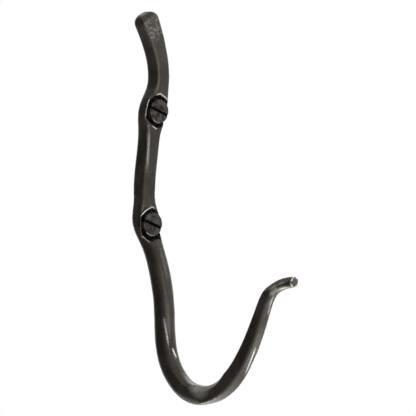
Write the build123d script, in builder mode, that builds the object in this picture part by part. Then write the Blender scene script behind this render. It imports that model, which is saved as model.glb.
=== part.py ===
from build123d import *

import os
from math import cos, radians, sin


# A hand-forged J hook and the two slotted screws that hold it to a wall.
# The wall is the plane Y = 0 and the hook stands out from it towards -Y. Z is up, X is to the right.
# The origin is on the wall, midway between the two screws. Sizes are in millimetres.

# ---- Where the bar runs ----
screw_pitch = 45.0  # from one screw to the other
top_end = (-8.1, 38.4)  # sideways, above the upper screw
brow = (-1.6, 26.0)  # the same, where the top leans over
crest = (1.5, 11.2)  # the same, at the bow above the upper boss
upper_boss_shift = -0.4  # the bosses swell further to the left of the screws
waist = (-2.0, 14.0)  # sideways, below the upper screw
hollow = (-2.6, 21.0)  # sideways, above the lower screw
lower_boss_shift = -0.2
lift_off = (7.5, 8.5)  # out from the wall, below the lower screw
kick = (13.2, 20.0)  # the same, where the bar swings back to upright
shank = (16.6, 32.0)
calf = (18.9, 46.5)
heel = (22.4, 54.8)
sole = (35.0, 64.2)
toe = (55.9, 59.2)
shin = (65.2, 48.0)
arm = (72.5, 32.0)
nape = (78.2, 21.6)
neck = (83.2, 19.2)
tip = (89.8, 18.0)

# ---- How thick the bar is ----
bar_width = 7.1  # hammered stretch that lies on the wall
bar_thickness = 7.6
round_size = 8.2  # round stretch from the lower boss to the bottom of the bend
boss_width = 11.9  # where the bar is punched and swells sideways
boss_thickness = 6.8
boss_reach = 11.5  # from a screw to the end of its swelling
end_width = 9.2  # flattened top end
end_thickness = 7.2
end_flare = 22.0  # over which the top end widens
end_rounding = 3.6
arm_width = 7.1  # squared arm at its root
arm_thickness = 7.4
arm_taper = 0.78  # less than 1: the arm thins faster near its root
tip_width = 4.3
tip_thickness = 4.2
tip_chamfer = 0.5
tip_blend = 28.0  # over which the square arm turns into the rounded tip
squaring_from = 5.0  # past the sole, where the round bar turns into the square arm
squaring = 5.0  # over which it does
back_flat = 0.35  # depth hammered off the round back, so that it lies flat on the wall

# ---- Corner radii: on the hammered front of the bar and on its back ----
bar_corners = (1.3, 2.4)
boss_corners = (1.5, 3.2)
round_corners = (3.8, 3.8)
arm_corners = (1.0, 1.0)
tip_corners = (1.8, 1.8)

# ---- Punched screw seats ----
seat_floor = 3.6  # iron left between the screw head and the wall
seat_floor_radius = 5.1
seat_slope = 24.0  # degrees that the seat's wall leans out
hole_clearance = 0.25  # around the screw's shank

# ---- Slotted screws ----
head_diameter = 9.5
head_height = 3.7
head_chamfer = 0.15
slot_width = 1.0
slot_depth = 1.1
slot_tilt = -17.5  # degrees from level, in both screws
shank_diameter = 4.8
thread_diameter = 4.4  # plain cylinder for the thread, at its middle height
screw_length = 32.0  # under the head
point_length = 6.0
point_diameter = 0.6

section_step = 2.6  # between the sections that the bar is lofted through
end_turn = 11  # degrees round the rounding of the top end, from one section to the next

upper = screw_pitch / 2
lower = -screw_pitch / 2


def off_wall(thickness):
    """Where the bar's middle is, for its hammered back to lie on the wall."""
    return -(thickness / 2 - back_flat)


# ---- Centre line, from the top end to the tip ----
with BuildLine() as centre_line:
    Spline(
        (top_end[0], off_wall(end_thickness), upper + top_end[1]),
        (brow[0], off_wall((end_thickness + bar_thickness) / 2), upper + brow[1]),
        (crest[0], off_wall(bar_thickness), upper + crest[1]),
        (upper_boss_shift, off_wall(boss_thickness), upper),
        (waist[0], off_wall(bar_thickness), upper - waist[1]),
        (hollow[0], off_wall(bar_thickness), lower + hollow[1]),
        (lower_boss_shift, off_wall(boss_thickness), lower),
        *[(0, -out, lower - drop) for out, drop in (lift_off, kick, shank, calf, heel)],
        *[(0, -out, lower - drop) for out, drop in (sole, toe, shin, arm, nape, neck, tip)],
    )
bar_line = centre_line.edge()
bar_length = bar_line.length


def distance_to(point):
    """Distance along the bar from its top end to a point of the centre line."""
    return bar_line.trim(0, bar_line.param_at_point(point)).length


upper_at = distance_to((upper_boss_shift, off_wall(boss_thickness), upper))
lower_at = distance_to((lower_boss_shift, off_wall(boss_thickness), lower))
square_at = distance_to((0, -sole[0], lower - sole[1])) + squaring_from


# ---- Sections ----
def ease(at, start, end):
    """0 before start, 1 after end and smooth between them."""
    share = min(max((at - start) / (end - start), 0), 1)
    return share * share * (3 - 2 * share)


def boss(at):
    """1 at each screw, 0 away from the bosses."""
    return max(1 - ease(abs(at - screw_at), 0, boss_reach) for screw_at in (upper_at, lower_at))


def size_at(at, end_size, bar_size, boss_size, arm_size, tip_size):
    """Width or thickness of the bar at a distance from its top end."""
    size = end_size + (bar_size - end_size) * ease(at, 0, end_flare)
    size += (boss_size - bar_size) * boss(at)
    size += (round_size - bar_size) * ease(at, lower_at, lower_at + boss_reach)
    size += (arm_size - round_size) * ease(at, square_at, square_at + squaring)
    thinned = max((at - square_at) / (bar_length - square_at), 0) ** arm_taper
    return size + (tip_size - arm_size) * thinned


def corner_at(at, bar_radius, boss_radius, round_radius, arm_radius, tip_radius):
    """Corner radius of the section at a distance from the top end."""
    radius = bar_radius + (boss_radius - bar_radius) * boss(at)
    radius += (round_radius - bar_radius) * ease(at, lower_at, lower_at + boss_reach)
    radius += (arm_radius - round_radius) * ease(at, square_at, square_at + squaring)
    return radius + (tip_radius - arm_radius) * ease(at, bar_length - tip_blend, bar_length)


def section_size(at, inset=0):
    """Width, thickness, front and back corner radius, all drawn in by the inset."""
    width = size_at(at, end_width, bar_width, boss_width, arm_width, tip_width)
    thickness = size_at(
        at, end_thickness, bar_thickness, boss_thickness, arm_thickness, tip_thickness
    )
    fronts, backs = zip(bar_corners, boss_corners, round_corners, arm_corners, tip_corners)
    front = corner_at(at, *fronts)
    back = corner_at(at, *backs)
    share = 1 - 2 * inset / width
    return width * share, thickness * share, front * share, back * share


def section_plane(at):
    """Plane square to the bar, with its x axis kept sideways."""
    middle = bar_line.position_at(at, PositionMode.LENGTH)
    along = bar_line.tangent_at(at, PositionMode.LENGTH)
    return Plane(origin=middle, x_dir=Vector(1, 0, 0) - along * along.X, z_dir=along)


# ---- The forging ----
chamfer_at = bar_length - tip_chamfer
section_count = round(bar_length / section_step)
stations = [
    (end_rounding * (1 - cos(radians(turn))), end_rounding * (1 - sin(radians(turn))))
    for turn in range(end_turn, 90, end_turn)
]
stations += [
    (end_rounding + (chamfer_at - end_rounding) * index / section_count, 0)
    for index in range(section_count + 1)
]
stations.append((bar_length, tip_chamfer))
with BuildPart() as forged_hook:
    for at, inset in stations:
        width, thickness, front, back = section_size(at, inset)
        with BuildSketch(section_plane(at)) as section:
            Rectangle(width, thickness)
            fillet(section.vertices().group_by(Axis.Y)[-1], front)
            fillet(section.vertices().group_by(Axis.Y)[0], back)
    loft(ruled=True)
    split(bisect_by=Plane.XZ)
    for height in (upper, lower):
        seat = Plane(origin=(0, -seat_floor, height), x_dir=(1, 0, 0), z_dir=(0, -1, 0))
        with BuildSketch(seat):
            Circle(seat_floor_radius)
        extrude(amount=boss_thickness, taper=-seat_slope, mode=Mode.SUBTRACT)
        with Locations(seat):
            Hole(shank_diameter / 2 + hole_clearance)

forged_hook.part.label = "forged_hook"


# ---- The screws ----
def slotted_screw(height):
    """Cheese-head wood screw in the seat at the given height, its point in the wall."""
    face_out = seat_floor + head_height
    point_end = screw_length - seat_floor
    along_screw = Plane(origin=(0, 0, height), x_dir=(0, 1, 0), z_dir=(1, 0, 0))
    head_face = Plane(origin=(0, -face_out, height), x_dir=(1, 0, 0), z_dir=(0, -1, 0))
    with BuildPart() as screw:
        with BuildSketch(along_screw):
            with BuildLine():
                Polyline(
                    (-face_out, 0),
                    (-face_out, head_diameter / 2 - head_chamfer),
                    (-face_out + head_chamfer, head_diameter / 2),
                    (-seat_floor, head_diameter / 2),
                    (-seat_floor, shank_diameter / 2),
                    (0, shank_diameter / 2),
                    (0, thread_diameter / 2),
                    (point_end - point_length, thread_diameter / 2),
                    (point_end, point_diameter / 2),
                    (point_end, 0),
                    close=True,
                )
            make_face()
        revolve(axis=Axis((0, 0, height), (0, 1, 0)))
        with BuildSketch(head_face):
            Rectangle(2 * head_diameter, slot_width, rotation=slot_tilt)
        extrude(amount=-slot_depth, mode=Mode.SUBTRACT)
    return screw.part


upper_screw = slotted_screw(upper)
upper_screw.label = "upper_screw"
lower_screw = slotted_screw(lower)
lower_screw.label = "lower_screw"

# ---- Files ----
os.makedirs("parts", exist_ok=True)
export_step(forged_hook.part, "parts/forged_hook.step")
export_step(upper_screw, "parts/upper_screw.step")
export_step(lower_screw, "parts/lower_screw.step")
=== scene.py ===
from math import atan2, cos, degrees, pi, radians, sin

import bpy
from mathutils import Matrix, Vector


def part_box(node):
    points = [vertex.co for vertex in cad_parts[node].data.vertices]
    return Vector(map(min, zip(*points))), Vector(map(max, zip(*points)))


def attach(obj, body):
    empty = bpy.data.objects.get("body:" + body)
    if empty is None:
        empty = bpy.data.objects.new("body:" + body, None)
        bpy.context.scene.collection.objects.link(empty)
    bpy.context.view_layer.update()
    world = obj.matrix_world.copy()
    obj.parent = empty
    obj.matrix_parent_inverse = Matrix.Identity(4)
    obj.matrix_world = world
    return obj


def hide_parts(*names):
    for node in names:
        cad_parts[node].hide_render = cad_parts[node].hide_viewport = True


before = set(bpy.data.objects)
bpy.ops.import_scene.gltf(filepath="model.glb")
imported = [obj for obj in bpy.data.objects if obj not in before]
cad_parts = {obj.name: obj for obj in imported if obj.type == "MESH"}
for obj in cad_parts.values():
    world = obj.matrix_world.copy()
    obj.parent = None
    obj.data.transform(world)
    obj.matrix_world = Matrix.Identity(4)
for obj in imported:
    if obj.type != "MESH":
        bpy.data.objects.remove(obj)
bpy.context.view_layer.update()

# %% [markdown]
# # A forged hook and its two screws
# The real thing is a bar of mild steel that a smith drew out, punched, bent and blackened, and
# two slotted screws that hold it to a wall. The CAD frame gives the true shape and place of all
# three. Here the hook gets the soft skin that a hammer leaves, the screws get slots and threads,
# and all of it gets the finish of oiled black iron. Everything is in metres: +Z is up, the wall
# is the plane Y = 0 and the hook stands out towards -Y.

MM = 0.001

# %% [markdown]
# ## Small helpers
# An operator acts on whatever is selected, so each step first picks the one object it means, and
# in edit mode the corners or faces that it should change. A modifier is applied at once, so that
# a finished piece is a plain mesh.


# %% Pick, apply and finish
def pick(piece):
    """Makes one object the only selected one."""
    bpy.ops.object.select_all(action="DESELECT")
    piece.select_set(True)
    bpy.context.view_layer.objects.active = piece
    return piece


def modify(piece, kind, **settings):
    """Adds a modifier, sets it and applies it."""
    pick(piece)
    modifier = piece.modifiers.new(kind.title(), kind)
    for name, value in settings.items():
        setattr(modifier, name, value)
    bpy.ops.object.modifier_apply(modifier=modifier.name)
    return piece


def settle(piece, name):
    """Names a finished piece and moves its place into its mesh."""
    pick(piece)
    bpy.ops.object.transform_apply(location=True, rotation=True, scale=True)
    piece.name = name
    piece.data.name = name
    print(name, "has", len(piece.data.polygons), "faces")
    return piece


# %% Select corners or faces by a test
def choose(piece, wanted, kind="vertices"):
    """Goes into edit mode with only those corners or faces selected that a test wants."""
    bpy.ops.object.mode_set(mode="EDIT")
    bpy.ops.mesh.select_all(action="DESELECT")
    bpy.ops.object.mode_set(mode="OBJECT")
    for part in getattr(piece.data, kind):
        part.select = wanted(part)
    bpy.ops.object.mode_set(mode="EDIT")


# %% [markdown]
# ## The seats' lips
# The smith sinks each screw seat with a round punch into hot iron. The iron has nowhere to go
# but sideways and up, so it rolls into a thin raised lip round the seat, not quite round,
# because the boss is hammered flat again between blows. A ring of six blunt corners has that
# uneven look. On the left the lip stops at the side of the bar, so the ring is pushed in there.
# On the right the seat runs out to the very side of the bar and there is no lip, so the ring
# is cut off, further in at one end than at the other.

# %% Sizes of the lips
lip_sides = 6
side_angle = 360 / lip_sides
corner_angle = 10  # degrees to each side of a corner
lip_rings = 2 * lip_sides  # one at each corner and one at the middle of each side
ring_corners = 12
lip_thickness = 0.42 * MM
lip_out = 6.2 * MM  # from the wall to the middle of the lip
lip_rise = 0.5 * MM  # how much further out the lip is above and below the screw
lip_rise_from = 0.55  # of its radius
lip_inset = -0.15 * MM  # from the bar's left side to the middle of the lip
lip_corner = 1.075  # how much further out the six corners are than the middles of the sides
# moved sideways, lowered, radius at the middle of a side and turn
lip_shapes = {
    "upper_screw": (-0.2 * MM, 0.0, 6.6 * MM, radians(-26)),
    "lower_screw": (-0.1 * MM, 0.3 * MM, 6.75 * MM, radians(-35)),
}
print("each lip is a ring of", lip_sides, "sides, made of", lip_rings * ring_corners, "corners")

# %% Measure how far left each lip may reach
feeler_start = -20 * MM
feeler_out = -5 * MM  # just behind the bar's front


def screw_height(node):
    low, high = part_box(node)
    return (low[2] + high[2]) / 2


def left_side(height):
    """Where the bar's left side is at a height."""
    start = (feeler_start, feeler_out, height)
    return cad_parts["forged_hook"].ray_cast(start, (1, 0, 0))[1].x


def left_limit(node):
    """The line along a boss that its lip may not cross: its middle and its drift upwards."""
    drop, radius = lip_shapes[node][1:3]
    height = screw_height(node) - drop
    top = left_side(height + radius / 2)
    bottom = left_side(height - radius / 2)
    return (top + bottom) / 2 + lip_inset, (top - bottom) / radius


left_limits = {node: left_limit(node) for node in lip_shapes}
for node, (limit, drift) in left_limits.items():
    print(node, "lip stays right of", round(limit / MM, 2), "mm, drift", round(drift, 2))


# %% Roll a ring with six blunt corners
def blunt_ring(node):
    """A six-sided ring round a seat, as thick as the lip all round."""
    shift, drop, radius, turn = lip_shapes[node]
    middle = (shift, -lip_out, screw_height(node) - drop)
    bpy.ops.object.select_all(action="DESELECT")
    bpy.ops.mesh.primitive_torus_add(
        major_segments=lip_rings, minor_segments=ring_corners, major_radius=radius,
        minor_radius=lip_thickness, location=middle, rotation=(pi / 2, turn, 0),
    )
    lip = settle(bpy.context.active_object, node + "_lip")

    def at_blunt_corner(corner):
        angle = degrees(atan2(corner.co.z - middle[2], corner.co.x - shift) + turn)
        return abs((angle + side_angle / 2) % side_angle - side_angle / 2) < corner_angle

    choose(lip, at_blunt_corner)
    bpy.ops.transform.resize(value=(lip_corner, 1, lip_corner), center_override=middle)
    bpy.ops.object.mode_set(mode="OBJECT")
    return lip


# %% Push it in on the left
def push_in(lip, node):
    """Moves each cross ring that stands past the boss's left side back onto it."""
    height = screw_height(node) - lip_shapes[node][1]
    limit, drift = left_limits[node]
    for first in range(0, lip_rings * ring_corners, ring_corners):
        ring = range(first, first + ring_corners)
        middle = sum((lip.data.vertices[index].co for index in ring), Vector()) / ring_corners
        inwards = max(limit + drift * (middle.z - height) - middle.x, 0)
        choose(lip, lambda corner: corner.index in ring)
        bpy.ops.transform.translate(value=(inwards, 0, 0))
        bpy.ops.object.mode_set(mode="OBJECT")


# %% Lift it above and below the screw and cut it off on the right
def lift_and_cut(lip, node, top_end, bottom_end):
    """Cuts the lip off on a slant, from one distance right of the screw to another."""
    drop, radius = lip_shapes[node][1:3]
    height = screw_height(node) - drop
    choose(lip, lambda corner: abs(corner.co.z - height) > radius * lip_rise_from)
    bpy.ops.transform.translate(value=(0, -lip_rise, 0))
    bpy.ops.mesh.select_all(action="SELECT")
    slant = (top_end - bottom_end) / (2 * radius)
    bpy.ops.mesh.bisect(
        plane_co=((top_end + bottom_end) / 2, 0, height), plane_no=(1, 0, -slant),
        use_fill=True, clear_outer=True,
    )
    bpy.ops.object.mode_set(mode="OBJECT")
    print(lip.name, "is cut to", len(lip.data.polygons), "faces")


# %% Make both lips
lip_ends = {"upper_screw": (5.4 * MM, 2.6 * MM), "lower_screw": (2.0 * MM, 5.2 * MM)}
lips = []
for node, (top_end, bottom_end) in lip_ends.items():
    lip = blunt_ring(node)
    push_in(lip, node)
    lift_and_cut(lip, node, top_end, bottom_end)
    lips.append(lip)

# %% [markdown]
# ## The hook's hammered skin
# The frame's hook has the right bar, seats and bends, but its edges are as sharp as a drawing.
# A copy of it is merged into one skin, joined to the lips and remeshed into small even squares,
# which melts the lips in and rounds every edge a little. Two procedural textures then press the
# skin in: broad shallow dents from the hammer's face, and the finer unevenness of scaled iron.
# They only press inwards, so the hook never outgrows its frame.


# %% Join pieces and remove them
def join(pieces):
    """Joins several objects into the first."""
    pick(pieces[0])
    for piece in pieces[1:]:
        piece.select_set(True)
    bpy.ops.object.join()
    return pieces[0]


def remove(piece):
    bpy.data.objects.remove(piece, do_unlink=True)


# %% Copy the frame's hook
merge_distance = 0.002 * MM
pick(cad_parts["forged_hook"])
bpy.ops.object.duplicate()
hook = bpy.context.active_object
bpy.ops.object.mode_set(mode="EDIT")
bpy.ops.mesh.select_all(action="SELECT")
bpy.ops.mesh.remove_doubles(threshold=merge_distance)
bpy.ops.object.mode_set(mode="OBJECT")
print("the copy has", len(hook.data.vertices), "corners after merging")

# %% [markdown]
# ## Hammered facets
# The bar was drawn out square and then rounded under the hammer, and in two places the smith
# left it flat. On the inside of the bottom bend the bar was laid over the horn of the anvil,
# which flattens it to the curve of the horn: a wide cone cuts the same flat. Just behind the
# tip a few blows took the upper corner off the left side: one turned block does the same.


# %% Cut the flat inside the bend
def cut_away(piece, cutter):
    """Cuts one piece out of another."""
    modify(piece, "BOOLEAN", operation="DIFFERENCE", object=cutter, solver="EXACT")
    remove(cutter)
    print("after a cut,", piece.name, "has", len(piece.data.polygons), "faces")


smooth_sides = 128  # round a large cutter, so that its cut shows no facets
bend_out = -43.0 * MM
bend_height = -69.5 * MM
bend_facet_radius = 16.2 * MM
bend_facet_side = -3.4 * MM
facet_left = -8.0 * MM
facet_right = 4.0 * MM
bpy.ops.object.select_all(action="DESELECT")
bpy.ops.mesh.primitive_cone_add(
    vertices=smooth_sides, radius1=bend_facet_radius + bend_facet_side - facet_left,
    radius2=bend_facet_radius + bend_facet_side - facet_right, depth=facet_right - facet_left,
    location=((facet_left + facet_right) / 2, bend_out, bend_height), rotation=(0, pi / 2, 0),
)
cut_away(hook, bpy.context.active_object)

# %% Cut the flat on the neck
neck_middle = Vector((0, -82.0 * MM, -42.2 * MM))
neck_along = Vector((0, -0.95, 0.31)).normalized()
neck_top = Vector((0, 0.31, 0.95)).normalized()
neck_facet = (-0.83 * Vector((1, 0, 0)) + 0.56 * neck_top).normalized()  # left and up
neck_facet_depth = 1.5 * MM  # from the middle of the bar
block_size = 20 * MM
bpy.ops.object.select_all(action="DESELECT")
bpy.ops.mesh.primitive_cube_add(size=block_size)
block = bpy.context.active_object
turn = Matrix((neck_along, neck_facet.cross(neck_along), neck_facet)).transposed().to_4x4()
block_middle = neck_middle + neck_facet * (neck_facet_depth + block_size / 2)
block.matrix_world = Matrix.Translation(block_middle) @ turn
cut_away(hook, block)

# %% Melt the lips in
join([hook] + lips)
modify(hook, "REMESH", mode="VOXEL", voxel_size=0.3 * MM, adaptivity=0.0)
modify(hook, "SMOOTH", factor=0.5, iterations=4)
print("the melted skin has", len(hook.data.polygons), "faces")


# %% Press in the hammer marks
def press(piece, size, depth, **texture_settings):
    """Presses lumps of a given size into a piece, at most depth deep."""
    texture = bpy.data.textures.new(piece.name + "_dents", "CLOUDS")
    texture.noise_scale = size
    for name, value in texture_settings.items():
        setattr(texture, name, value)
    return modify(
        piece, "DISPLACE", texture=texture, texture_coords="LOCAL",
        strength=-depth, mid_level=0.0,
    )


press(hook, size=6.5 * MM, depth=0.16 * MM, noise_depth=0)
press(hook, size=2.4 * MM, depth=0.05 * MM, noise_depth=1)
settle(hook, "hammered_hook")
bpy.ops.object.shade_smooth()
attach(hook, "hook")
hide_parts("forged_hook")

# %% [markdown]
# ## The screws
# Each is a cheese-head wood screw: a thick flat head, one slot, a plain shank through the hook
# and a thread that bites into the wall. A screw is a stack of round shapes, so it starts as
# primitives on one line. The thread is one flat wedge that the Screw modifier winds into a
# helix. A voxel remesh then melts the stack into a single skin with slightly worn edges. The
# upper screw is made once and its copy is lowered to the other seat.

# %% Screw sizes, from the frame's upper screw
screw_low, screw_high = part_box("upper_screw")
head_radius = (screw_high[0] - screw_low[0]) / 2
head_front = screw_low[1]
head_back = -3.6 * MM
slot_width = 1.1 * MM
slot_depth = 1.25 * MM
slot_tilt = radians(-17.5)
saw_radius = 11.0 * MM
shank_radius = 2.4 * MM
core_radius = 1.8 * MM
thread_start = 4.0 * MM
point_end = screw_high[1]
point_start = point_end - 6.0 * MM
point_radius = 0.3 * MM
core_point_radius = 0.25 * MM
core_point_inset = 0.3 * MM  # the thread runs on to the point, the core ends before it
pitch = 2.0 * MM
ridge_radius = 0.62 * MM
ridge_flatness = 0.75
steps_in_turn = 40
overlap = 0.5 * MM  # of two rods, so that they melt together
cone_overlap = 0.01 * MM  # of a rod and the cone on its end
print("head", round(2 * head_radius / MM, 2), "mm across, point at", round(point_end / MM, 2))


# %% Round shapes along a screw
def rod(height, start, end, start_radius, end_radius=None):
    """A rod or cone round the screw's axis, from one distance into the wall to another."""
    if end_radius is None:
        end_radius = start_radius
    bpy.ops.object.select_all(action="DESELECT")
    bpy.ops.mesh.primitive_cone_add(
        vertices=96, radius1=start_radius, radius2=end_radius, depth=end - start,
        location=(0, (start + end) / 2, height), rotation=(-pi / 2, 0, 0),
    )
    return bpy.context.active_object


# %% Wind the thread
def thread(height):
    """A helical ridge, from where the plain shank ends to past the point."""
    bpy.ops.object.select_all(action="DESELECT")
    bpy.ops.mesh.primitive_circle_add(vertices=4, radius=ridge_radius, fill_type="NOTHING")
    ridge = bpy.context.active_object
    bpy.ops.object.mode_set(mode="EDIT")
    bpy.ops.mesh.select_all(action="SELECT")
    bpy.ops.transform.resize(value=(1.0, ridge_flatness, 1.0))
    bpy.ops.transform.translate(value=(core_radius, thread_start, 0))
    bpy.ops.object.mode_set(mode="OBJECT")
    turns = round((point_end - thread_start) / pitch)
    modify(
        ridge, "SCREW", axis="Y", angle=2 * pi * turns, screw_offset=pitch * turns,
        iterations=1, steps=steps_in_turn * turns, render_steps=steps_in_turn * turns,
    )
    bpy.ops.object.mode_set(mode="EDIT")
    bpy.ops.mesh.select_all(action="SELECT")
    bpy.ops.mesh.fill_holes(sides=0)
    bpy.ops.mesh.select_all(action="SELECT")
    bpy.ops.mesh.normals_make_consistent(inside=False)
    bpy.ops.object.mode_set(mode="OBJECT")
    ridge.location.z = height
    return ridge


# %% Saw the slot
def slotted_head(height):
    """The thick round head with its slot, deepest in the middle, which leans to the right."""
    head = rod(height, head_front, head_back, head_radius)
    bpy.ops.object.select_all(action="DESELECT")
    bpy.ops.mesh.primitive_cylinder_add(
        vertices=smooth_sides, radius=saw_radius, depth=slot_width,
        location=(0, head_front + slot_depth - saw_radius, height), rotation=(0, -slot_tilt, 0),
    )
    cut_away(head, bpy.context.active_object)
    return head


# %% Trim the thread to a point
def trimmed_thread(height):
    """The thread, cut down to a rod that ends in a cone."""
    reach = rod(height, thread_start, point_start, shank_radius)
    point = rod(height, point_start - cone_overlap, point_end, shank_radius, point_radius)
    join([reach, point])
    modify(reach, "REMESH", mode="VOXEL", voxel_size=0.15 * MM)
    ridge = thread(height)
    modify(ridge, "BOOLEAN", operation="INTERSECT", object=reach, solver="EXACT")
    remove(reach)
    print("the thread has", len(ridge.data.polygons), "faces")
    return ridge


# %% Melt the shapes into one screw
height = screw_height("upper_screw")
head = slotted_head(height)
shank = rod(height, head_back - overlap, thread_start, shank_radius)
core = rod(height, thread_start - overlap, point_start, core_radius)
core_point = rod(
    height, point_start - cone_overlap, point_end - core_point_inset, core_radius,
    core_point_radius,
)
upper = join([head, shank, core, core_point, trimmed_thread(height)])
modify(upper, "REMESH", mode="VOXEL", voxel_size=0.12 * MM, adaptivity=0.0)
modify(upper, "SMOOTH", factor=0.5, iterations=3)
press(upper, size=1.6 * MM, depth=0.05 * MM, noise_depth=2)
settle(upper, "upper_screw_threaded")
bpy.ops.object.shade_smooth()

# %% Copy it to the lower seat
pick(upper)
bpy.ops.object.duplicate()
lower = bpy.context.active_object
lower.location.z = screw_height("lower_screw") - height
settle(lower, "lower_screw_threaded")
screws = [upper, lower]
for screw, node in zip(screws, ("upper_screw", "lower_screw")):
    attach(screw, node)
    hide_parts(node)

# %% [markdown]
# ## Shader maths in plain Python
# A material is a graph of nodes. One small class wraps a socket, so that adding, multiplying
# and the like write their own Math nodes, and every other node comes from its one method.

# %% A wrapped socket
# a Mix node has sockets for each kind of value, and these are the numbers of those for colours
mix_factor, mix_first, mix_second, mix_result = 0, 6, 7, 2


class Shade:
    """A socket that can be added to, multiplied and so on, or a place to start from."""

    def __init__(self, tree, socket=None):
        self.tree = tree
        self.socket = socket

    def node(self, kind, settings=None, sockets=None, output=0):
        """Adds a node, sets it first, then fills its sockets with values or links."""
        node = self.tree.nodes.new(kind)
        for name, value in (settings or {}).items():
            setattr(node, name, value)
        for name, value in (sockets or {}).items():
            if isinstance(value, Shade):
                self.tree.links.new(value.socket, node.inputs[name])
            else:
                node.inputs[name].default_value = value
        return Shade(self.tree, node.outputs[output] if node.outputs else None)

    def maths(self, operation, first, second=0.0):
        return self.node("ShaderNodeMath", {"operation": operation}, {0: first, 1: second})

    def __add__(self, other):
        return self.maths("ADD", self, other)

    __radd__ = __add__

    def __sub__(self, other):
        return self.maths("SUBTRACT", self, other)

    def __rsub__(self, other):
        return self.maths("SUBTRACT", other, self)

    def __mul__(self, other):
        return self.maths("MULTIPLY", self, other)

    __rmul__ = __mul__

    def __truediv__(self, other):
        return self.maths("DIVIDE", self, other)

    def __rtruediv__(self, other):
        return self.maths("DIVIDE", other, self)

    def __abs__(self):
        return self.maths("ABSOLUTE", self)

    def rise(self, low, high):
        """0 below low, 1 above high and smooth between them."""
        settings = {"interpolation_type": "SMOOTHSTEP"}
        sockets = {"Value": self, "From Min": low, "From Max": high}
        return self.node("ShaderNodeMapRange", settings, sockets)

    def axis(self, number):
        """One coordinate of a point."""
        return self.node("ShaderNodeSeparateXYZ", None, {0: self}, number)

    def distance(self, place):
        """How far this point is from a place."""
        settings = {"operation": "DISTANCE"}
        return self.node("ShaderNodeVectorMath", settings, {0: self, 1: place}, "Value")

    def mix(self, first, second):
        """Goes from the first colour to the second as this value goes from 0 to 1."""
        sockets = {mix_factor: self, mix_first: first, mix_second: second}
        return self.node("ShaderNodeMix", {"data_type": "RGBA"}, sockets, mix_result)

    def noise(self, size, detail=3.0, roughness=0.5):
        """Even unevenness from 0 to 1 over this point, with lumps of about the given size."""
        sockets = {"Vector": self, "Scale": 1 / size, "Detail": detail, "Roughness": roughness}
        return self.node("ShaderNodeTexNoise", None, sockets)


# %% Open and close a material
def strongest(masks):
    """The largest of several masks."""
    largest = masks[0]
    for mask in masks[1:]:
        largest = largest.maths("MAXIMUM", largest, mask)
    return largest


def new_material(name):
    """A material with nothing in it and a place to start from."""
    material = bpy.data.materials.new(name)
    material.use_nodes = True
    material.node_tree.nodes.clear()
    return material, Shade(material.node_tree)


def object_place(start):
    """The point that is shaded, in the object's own coordinates."""
    return start.node("ShaderNodeTexCoord", output="Object")


def finish_material(material, surface):
    """Closes a material with its surface shader."""
    surface.node("ShaderNodeOutputMaterial", None, {"Surface": surface})
    print("material", material.name, "has", len(material.node_tree.nodes), "nodes")
    return material


# %% [markdown]
# ## Black iron
# Forged steel is blackened with oil while it is hot. The skin is nearly black with a brown
# cast, between shiny and dull, a little blotchy, with fine pits from the scale. Where hands,
# meat and the screw heads rub it, the black wears through to grey metal. Pointiness finds the
# sharpest ridges by itself. The same bare metal colours also paint highlights: thin streaks along
# the bar, and spots on the lips, one ridge, the saddle and the lower rims of the screw heads.
# The slots get painted shade. Everything else that is worn, brown or painted is found by its
# place on the piece, with masks that the next steps make, so that one material can serve the hook
# and the screws.

# %% How far the black is worn through, or painted with highlights
sharp_ridge = (0.53, 0.60)  # Pointiness, from where a ridge starts to wear to where it is bare
slight_ridge = (0.51, 0.54)


def worn_through_or_highlit(where, specks, rubbed_ridges, chipped_or_highlit, polished_or_highlit, rubbed_or_highlit):
    """0 where the black is whole, 1 where the metal is bare or a highlight is painted."""
    ridge = where.node("ShaderNodeNewGeometry", output="Pointiness")
    bared_or_highlit = [ridge.rise(*sharp_ridge) * rubbed_ridges, chipped_or_highlit(where)]
    if polished_or_highlit is not None:
        bared_or_highlit.append(ridge.rise(*slight_ridge) * polished_or_highlit(where))
    worn_or_highlit = (strongest(bared_or_highlit) * (0.45 + specks)).rise(0.30, 0.85)
    if rubbed_or_highlit is not None:
        worn_or_highlit = strongest([worn_or_highlit, rubbed_or_highlit(where, specks)])
    return worn_or_highlit


# %% The black iron material
dark_bare_or_highlight = (0.20, 0.185, 0.17, 1)
light_bare_or_highlight = (0.72, 0.70, 0.67, 1)
brown_scale = (0.085, 0.055, 0.045, 1)
# the black of the painted shade in the slots
painted_shade_black = (0.003, 0.0026, 0.0024, 1)
speck_size = 1.1 * MM
pit_size = 0.45 * MM
dent_size = 1.5 * MM
grain_depth = 0.12 * MM


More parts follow.
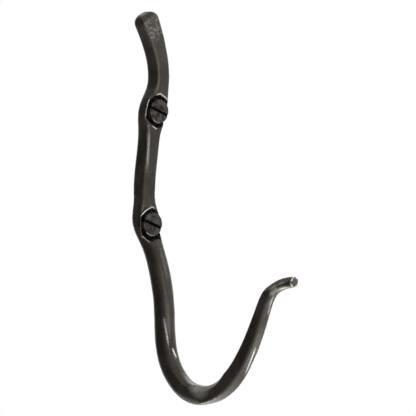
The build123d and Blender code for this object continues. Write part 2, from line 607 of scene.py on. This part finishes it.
def black_iron(
    name, dark, light, shine, grain, blotch, swing, soot, rubbed_ridges,
    chipped_or_highlit, rubbed_or_highlit=None, polished_or_highlit=None, dents=None, brown=None, slot_shade=None,
):
    """Blackened iron: two shades of black, worn ridges, painted highlights and shade, and a fine
    grain.
    """
    material, start = new_material(name)
    where = object_place(start)
    blotches = where.noise(blotch)
    specks = where.noise(speck_size, 5.0, 0.6)
    pits = where.noise(pit_size, 3.0, 0.6)
    worn_or_highlit = worn_through_or_highlit(where, specks, rubbed_ridges, chipped_or_highlit, polished_or_highlit, rubbed_or_highlit)
    tone = (blotches * 0.6 + specks * 0.4).rise(0.36, 0.66)
    black = tone.mix(dark, light)
    if brown is not None:
        black = brown(where).mix(black, brown_scale)
    # bare grey metal where the black is worn; the same colours paint highlights on the bar, lips
    # and rims
    colour = worn_or_highlit.mix(black, specks.mix(dark_bare_or_highlight, light_bare_or_highlight))
    sooty = (1 - blotches.rise(0.42, 0.60)) * soot
    metallic = strongest([worn_or_highlit * 0.9, sooty])
    # painted shade: the slots are made black, darker than any iron and without shine
    if slot_shade is not None:
        shaded_slot = slot_shade(where)
        colour = shaded_slot.mix(colour, painted_shade_black)
        metallic = strongest([metallic, shaded_slot])
    height = specks * 0.6 + pits * 0.4
    if dents is not None:
        height = height + dents(where) * where.noise(dent_size, 1.0, 0.4) * 2.0
    sockets = {"Strength": grain, "Distance": grain_depth, "Height": height}
    bump = start.node("ShaderNodeBump", None, sockets)
    sockets = {
        "Base Color": colour, "Metallic": metallic, "Normal": bump, "IOR": 1.5,
        "Roughness": shine + (blotches - 0.5) * swing + (specks - 0.5) * 0.12,
        "Specular Tint": (1.0, 0.92, 0.80, 1),
    }
    return finish_material(material, start.node("ShaderNodeBsdfPrincipled", None, sockets))


# %% [markdown]
# ## The lips, the tip and one ridge
# The screw heads and passing hands rub the crests of the lips bright, more in some places than
# in others, and those brightest spots are painted highlights as well as wear. Whatever knocks
# against the rim of the tip's cut end wears it bright too. The ridge where the lower seat cuts
# into the bar is worn and also carries a painted highlight. A lip's mask repeats the lip's shape
# in shader maths: six bent sides, and one straight stretch along the left side of the bar.


# %% Distances on a piece
def near(where, place, inside, outside):
    """1 within a distance of a place, 0 past a larger one."""
    return 1 - where.distance(place).rise(inside, outside)


def from_wall(where):
    """How far a point stands out from the wall."""
    return -1 * where.axis(1)


def around(where, side, height):
    """From a line straight out of the wall: how far to its right, above it and in all."""
    across = where.axis(0) - side
    above = where.axis(2) - height
    return across, above, where.maths("SQRT", across * across + above * above)


# %% Rubbed lips, with painted highlights
lip_foot = (5.9 * MM, 6.3 * MM)  # out from the wall, from the seat's side to the lip
lip_crest = (0.15 * MM, 0.5 * MM)  # from the middle of the lip to where its shine ends
lip_shine = 0.2  # all round, between the spots
lip_front = 6.8 * MM
# spots of wear and painted highlight: sideways and up from the screw, full inside one
# distance, none past the other, and how much
lip_wear_and_highlight_spots = {
    "upper_screw": (
        (-6.2, 1.0, 2.5, 5.2, 0.72), (1.8, 6.8, 2.4, 5.0, 1.0), (-2.0, -6.6, 0.8, 2.4, 0.85),
    ),
    "lower_screw": (
        (-3.2, 5.6, 2.6, 4.6, 1.5), (-2.2, -6.8, 2.4, 4.6, 0.72), (3.6, -6.9, 0.6, 1.8, 0.8),
    ),
}


def lip_wear_and_highlights(where, node):
    """How bright the crest of the six-sided lip round one seat is, from wear and painted
    highlights.
    """
    shift, drop, lip_radius, turn = lip_shapes[node]
    across, above, radius = around(where, shift, screw_height(node) - drop)
    angle = where.maths("ARCTAN2", above, across) + turn
    half_side = pi / lip_sides
    off_middle = where.maths("FLOORED_MODULO", angle, 2 * half_side) - half_side
    # each side is bent outwards at its middle, so that its two halves lean away from it
    lean = atan2(1 / lip_corner - cos(half_side), sin(half_side))
    ring = radius * where.maths("COSINE", abs(off_middle) - lean) / cos(lean)
    limit, drift = left_limits[node]
    past_limit = limit - shift + above * drift - across
    apart = abs(strongest([ring - lip_radius, past_limit]))
    crest = (1 - apart.rise(*lip_crest)) * from_wall(where).rise(*lip_foot)
    rubbed_or_highlit = []
    for side, rise, inside, outside, amount in lip_wear_and_highlight_spots[node]:
        spot = (side * MM, -lip_front, screw_height(node) + rise * MM)
        rubbed_or_highlit.append(near(where, spot, inside * MM, outside * MM) * amount)
    return crest * strongest(rubbed_or_highlit + [lip_shine])


# %% The rim of the tip's end
tip_out = -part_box("forged_hook")[0][1]
tip_height = -40.4 * MM
print("the tip ends", round(tip_out / MM, 1), "mm from the wall")


def tip_rim(where):
    """1 in flecks round the rim of the tip's cut end, 0 elsewhere."""
    radius = around(where, 0, tip_height)[2]
    end = from_wall(where).rise(tip_out - 0.9 * MM, tip_out - 0.4 * MM)
    flecks = where.noise(1.2 * MM, 1.0).rise(0.46, 0.58)
    return end * radius.rise(1.1 * MM, 1.6 * MM) * flecks * 1.2


# %% Where the hook is chipped, polished or painted with highlights
# a worn ridge that also carries a painted highlight
polished_and_highlit_place = (-3.0 * MM, -8.8 * MM, -28.9 * MM)


def chipped_and_highlit_places(where):
    """Both lips, worn and painted with highlights, and the rim of the tip's end."""
    return strongest([lip_wear_and_highlights(where, node) for node in lip_shapes] + [tip_rim(where)])


def polished_and_highlit_ridge(where):
    """Strong round the lower seat's bottom, where its rim cuts into the swinging bar: wear and a
    painted highlight.
    """
    return near(where, polished_and_highlit_place, 2.4 * MM, 3.8 * MM) * 0.85


# %% [markdown]
# ## Painted highlights, rubbed, struck and brown places
# Thin bright streaks along the bar are painted highlights, in the colour of bare metal. The
# weight that hangs in the bend rubs its saddle grey, and that grey is also a painted highlight on
# the flat inside the bend. The front of the top end took the hardest blows, so it is pitted and
# flecked. Scale stays brown where nothing rubs: in fine rings on the walls of the punched seats,
# and in the middle of the tip's end. All of them are masks by place.


# %% The struck top end
struck_place = (-5.0 * MM, -7 * MM, 55.5 * MM)


def struck_face(where):
    """1 on the front of the top end, which the hammer hit hardest, 0 elsewhere."""
    face = from_wall(where).rise(6.0 * MM, 6.6 * MM)
    return near(where, struck_place, 3 * MM, 6.8 * MM) * face


# %% Painted highlight streaks along the bar
highlight_streak_fade = 0.45 * MM  # from a streak's full width to where it ends
highlight_streak_reach = 2.2  # half lengths from its middle to where it has run out
# middle of each streak, how it drifts sideways as it rises, half its length, half its
# width and how strong its painted highlight is
highlight_streaks = (
    ((-4.5, -7.1, 7.0), 0.0, 4.0, 0.32, 0.31),
    ((-2.35, -21.6, -64.1), -0.09, 3.0, 0.05, 0.62),
    ((0.05, -24.3, -72.3), -0.26, 1.2, 0.15, 1.0),
    ((0.6, -67.5, -72.0), -0.10, 3.5, 0.15, 0.85),
    ((0.4, -77.0, -50.0), -0.15, 2.5, 0.12, 0.60),
    ((-1.5, -80.8, -44.7), 0.0, 1.5, 0.45, 0.50),
    ((-1.2, -84.8, -43.4), 0.0, 1.6, 0.45, 0.50),
)
print(len(highlight_streaks), "streaks, the longest", 2 * max(streak[2] for streak in highlight_streaks), "mm")


def painted_highlight_streaks(where):
    """Thin bright streaks along the bar: painted highlights in the colour of bare metal."""
    bright = []
    for (side, out, height), drift, half_length, half_width, amount in highlight_streaks:
        line = side * MM + drift * (where.axis(2) - height * MM)
        off_line = abs(where.axis(0) - line)
        streak = 1 - off_line.rise(half_width * MM, half_width * MM + highlight_streak_fade)
        place = (side * MM, out * MM, height * MM)
        full, none = half_length * MM, highlight_streak_reach * half_length * MM
        bright.append(streak * near(where, place, full, none) * amount)
    return strongest(bright)


# %% Where the hook is rubbed or painted with highlights
saddle_wear_and_highlight_place = (-1.0 * MM, -43.5 * MM, -83.0 * MM)


def rubbed_and_highlit_places(where, specks):
    """The painted highlight streaks, the saddle where the weight hangs, worn and painted bright,
    and flecks on the struck face.
    """
    # the saddle's grey is wear and also a painted highlight on the flat inside the bend
    saddle = near(where, saddle_wear_and_highlight_place, 2 * MM, 7.5 * MM) * 0.6
    flecks = where.noise(0.9 * MM, 2.0).rise(0.50, 0.66) * 0.3 + 0.05
    return strongest([
        saddle * (0.6 + specks * 0.8), struck_face(where) * flecks, painted_highlight_streaks(where),
    ])


# %% Where the scale is brown
ring_spacing = 0.85 * MM


def rusty_places(where):
    """Fine brown rings on the walls of both seats and the middle of the tip's end."""
    rings = []
    for node in lip_shapes:
        radius = around(where, 0, screw_height(node))[2]
        wave = where.maths("SINE", radius * (2 * pi / ring_spacing)).rise(0.1, 0.9)
        inner, outer = radius.rise(4.8 * MM, 5.0 * MM), radius.rise(5.3 * MM, 5.5 * MM)
        rings.append(wave * inner * (1 - outer))
    on_walls = strongest(rings) * (1 - from_wall(where).rise(*lip_foot))
    tip_middle = (0, -tip_out, tip_height)
    return strongest([on_walls, near(where, tip_middle, 0.9 * MM, 1.5 * MM)])


# %% [markdown]
# ## The screw heads
# A screwdriver slips and fingers rub, so the lower rims of the heads are worn to metal, and that
# metal also paints a highlight along them. The slots are filled with painted shade, darker than
# any iron. Both are masks by place again, measured from the middle of each head.

# %% Worn rims, with a painted highlight
rim_wear_and_highlight_amounts = {"upper_screw": 0.66, "lower_screw": 0.85}


def behind_face(where):
    """How far a point lies behind the front of the heads."""
    return where.axis(1) - head_front


def head_rims_worn_and_highlit(where):
    """The lower rims of both heads, worn and painted with a highlight."""
    rims = []
    for node, amount in rim_wear_and_highlight_amounts.items():
        radius = around(where, 0, screw_height(node))[2]
        rim = radius.rise(head_radius - 0.45 * MM, head_radius - 0.2 * MM)
        place = (-1.2 * MM, head_front, screw_height(node) - 4.4 * MM)
        rims.append(rim * near(where, place, 1.2 * MM, 3.6 * MM) * amount)
    return strongest(rims) * (1 - behind_face(where).rise(0.25 * MM, 0.5 * MM))


# %% Painted shade in the slots
def painted_slot_shade(where):
    """1 inside the slots of both screws, where their shade is painted, 0 elsewhere."""
    slots = []
    for node in lip_shapes:
        across, above = around(where, 0, screw_height(node))[:2]
        off_slot = abs(across * sin(-slot_tilt) + above * cos(slot_tilt))
        edge = slot_width / 2
        slots.append(1 - off_slot.rise(edge + 0.02 * MM, edge + 0.14 * MM))
    depth = behind_face(where)
    in_depth = depth.rise(0.12 * MM, 0.30 * MM) * (1 - depth.rise(1.5 * MM, 1.9 * MM))
    return strongest(slots) * in_depth


# %% [markdown]
# ## The two finishes
# The hook is the browner and shinier of the two, with an even black and a fine grain. The
# screws are bought ones: a little greyer, duller and far more blotchy.

# %% Black iron for the hook and for the screws
iron = black_iron(
    "black_iron", (0.0105, 0.0080, 0.0068, 1), (0.026, 0.021, 0.017, 1), shine=0.30, grain=0.5,
    blotch=9 * MM, swing=0.16, soot=0.15, rubbed_ridges=0.35, chipped_or_highlit=chipped_and_highlit_places,
    rubbed_or_highlit=rubbed_and_highlit_places, polished_or_highlit=polished_and_highlit_ridge, dents=struck_face, brown=rusty_places,
)
screw_iron = black_iron(
    "screw_iron", (0.010, 0.0095, 0.0100, 1), (0.034, 0.029, 0.031, 1), shine=0.50, grain=1.0,
    blotch=2.2 * MM, swing=0.30, soot=0.75, rubbed_ridges=0.45, chipped_or_highlit=head_rims_worn_and_highlit,
    slot_shade=painted_slot_shade,
)

# %% Dress the pieces
for piece, material in ((hook, iron), (upper, screw_iron), (lower, screw_iron)):
    piece.data.materials.clear()
    piece.data.materials.append(material)
    print(piece.name, "is dressed in", material.name)

# %% [markdown]
# ## The stage
# The hook hangs in front of a white wall, over a pale floor. The wall is only there for the
# eye: it hides the screws' shanks, as a real wall does, throws no light back, and is clear
# from behind, so that the hook's back can be looked at. The world is white to the eye and to
# reflections, and softer as a light. Black iron looks black only when it has something dark to
# mirror, so a curved dark screen stands round the hook's left side. Only reflections see it,
# and it grows paler towards the front, which gives the round bar its soft change of tone.

# %% Stage materials
white = (1, 1, 1, 1)
floor_glow = (0.3, 0.3, 0.3, 1)
screen_dark_turn = radians(-85)  # round the hook from the front, negative to the left
screen_pale_turn = radians(-20)


def wall_white():
    """White from the front, clear from behind."""
    material, start = new_material("wall_white")
    behind = start.node("ShaderNodeNewGeometry", output="Backfacing")
    glow = start.node("ShaderNodeEmission", None, {"Color": white})
    clear = start.node("ShaderNodeBsdfTransparent", None, {"Color": white})
    surface = start.node("ShaderNodeMixShader", None, {0: behind, 1: glow, 2: clear})
    return finish_material(material, surface)


def floor_white():
    """A pale floor that the iron mirrors as white."""
    material, start = new_material("floor_white")
    mirrored = start.node("ShaderNodeLightPath", output="Is Glossy Ray")
    sockets = {
        "Base Color": (0.85, 0.85, 0.85, 1), "Roughness": 0.7,
        "Emission Color": mirrored.mix((0, 0, 0, 1), floor_glow), "Emission Strength": 1.0,
    }
    return finish_material(material, start.node("ShaderNodeBsdfPrincipled", None, sockets))


def screen_dark():
    """Dark to the left of the hook and paler towards the front."""
    material, start = new_material("screen_dark")
    where = object_place(start)
    turn = where.maths("ARCTAN2", where.axis(0), from_wall(where))
    sockets = {"Value": turn, "From Min": screen_dark_turn, "From Max": screen_pale_turn}
    paler = start.node("ShaderNodeMapRange", None, sockets)
    glow = start.node("ShaderNodeEmission", None, {"Color": 0.15 + 0.9 * paler})
    return finish_material(material, glow)


# %% Wall and floor
def stage_piece(name, material):
    """Settles and names the newest object, a piece of the stage, and gives it its one material.
    """
    piece = settle(bpy.context.active_object, name)
    piece.data.materials.append(material)
    return piece


wall_size = 3.0
wall_gap = 0.3 * MM  # behind the hook's back, so that the two never share a plane
floor_radius = 1.8
floor_height = -0.30
bpy.ops.object.select_all(action="DESELECT")
bpy.ops.mesh.primitive_plane_add(
    size=wall_size, location=(0, wall_gap, 0), rotation=(pi / 2, 0, 0)
)
wall = stage_piece("stage_wall", wall_white())
for ray in ("diffuse", "glossy", "transmission", "volume_scatter", "shadow"):
    setattr(wall, "visible_" + ray, False)
bpy.ops.object.select_all(action="DESELECT")
bpy.ops.mesh.primitive_circle_add(
    vertices=64, radius=floor_radius, fill_type="NGON", location=(0, 0, floor_height)
)
floor = stage_piece("stage_floor", floor_white())

# %% Dark screen
screen_radius = 0.38
screen_foot = -0.295
screen_head = 0.36
screen_turns = (-167, -20)  # degrees, from behind the hook to nearly in front of it
bpy.ops.object.select_all(action="DESELECT")
bpy.ops.mesh.primitive_cylinder_add(
    vertices=96, radius=screen_radius, depth=screen_head - screen_foot, end_fill_type="NOTHING",
    location=(0, 0, (screen_head + screen_foot) / 2),
)
screen = stage_piece("stage_screen", screen_dark())


def outside_screen(face):
    turn = degrees(atan2(face.center.x, -face.center.y))
    return not screen_turns[0] < turn < screen_turns[1]


choose(screen, outside_screen, "polygons")
bpy.ops.mesh.delete(type="FACE")
bpy.ops.object.mode_set(mode="OBJECT")
print("screen keeps", len(screen.data.polygons), "faces")
for ray in ("camera", "shadow", "diffuse"):
    setattr(screen, "visible_" + ray, False)

# %% World
world_light = 0.55
world = bpy.data.worlds.new("white_room")
bpy.context.scene.world = world
world.use_nodes = True
world.node_tree.nodes.clear()
sky = Shade(world.node_tree)
looks = ("Is Camera Ray", "Is Glossy Ray", "Is Transmission Ray")
seen = strongest([sky.node("ShaderNodeLightPath", output=look) for look in looks])
strength = world_light + (1 - world_light) * seen
backdrop = sky.node("ShaderNodeBackground", None, {"Color": white, "Strength": strength})
sky.node("ShaderNodeOutputWorld", None, {"Surface": backdrop})
print("the world is 1 to the eye and", world_light, "as a light")

# %% [markdown]
# ## Light and camera
# A wide low strip in front draws a soft line down the ridges that face it. Two small lamps high
# in front and to the right, and three under the arm, put short glints on the bends and on the
# underside of the tip. One large dim lamp behind keeps the right edges from going black. The
# camera stands well back with a long lens, level with the hook, 42 degrees round to its left,
# and tips a little to one side.


# %% Soft lamps
def lamp(name, place, width, height, radiance, target=(0, -0.03, -0.02)):
    """A soft lamp with an even glow, not seen by the camera itself."""
    bpy.ops.object.light_add(type="AREA", location=place)
    light = bpy.context.active_object
    light.name = name
    light.data.shape = "RECTANGLE"
    light.data.size = width
    light.data.size_y = height
    light.data.energy = radiance * pi * width * height
    light.rotation_euler = (Vector(target) - Vector(place)).to_track_quat("-Z", "Y").to_euler()
    light.visible_camera = False
    print(name, "gives", round(light.data.energy, 3), "watts")


lamp("lamp_front_strip", (0.07, -1.03, 0.07), 0.80, 0.12, 8.5)
lamp("lamp_front_high", (-0.29, -0.96, 0.44), 0.16, 0.16, 9.0)
lamp("lamp_right_high", (0.58, -0.60, 0.54), 0.16, 0.16, 8.0)
lamp("lamp_low_right", (0.235, -0.19, -0.284), 0.12, 0.12, 3.2, target=(0, -0.072, -0.055))
lamp("lamp_low_side", (0.45, 0.12, -0.21), 0.20, 0.16, 2.2, target=(0, -0.07, -0.055))
lamp("lamp_low_behind", (0.07, 0.05, -0.29), 0.09, 0.09, 9.0, target=(0, -0.083, -0.042))
lamp("lamp_high_behind", (0.50, 0.42, 0.62), 0.60, 0.60, 1.9)

# %% Camera
view_turn = radians(-42)
view_roll = radians(-3.2)
view_distance = 950 * MM
aim_side = 26.26 * MM
aim_down = 14.80 * MM
right = Vector((cos(view_turn), sin(view_turn), 0))
back = Vector((sin(view_turn), -cos(view_turn), 0))
up = back.cross(right)
place = aim_side * right - aim_down * up + view_distance * back
camera_right = cos(view_roll) * right - sin(view_roll) * up
camera_up = sin(view_roll) * right + cos(view_roll) * up
bpy.ops.object.camera_add()
camera = bpy.context.active_object
camera.matrix_world = Matrix.Translation(place) @ Matrix(
    (camera_right, camera_up, back)
).transposed().to_4x4()
camera.data.lens = 205.5
camera.data.sensor_width = 36
camera.data.clip_start = 0.05
bpy.context.scene.camera = camera
bpy.context.scene.view_settings.view_transform = "Standard"
print("camera at", [round(value, 3) for value in place], "with a lens of", camera.data.lens, "mm")
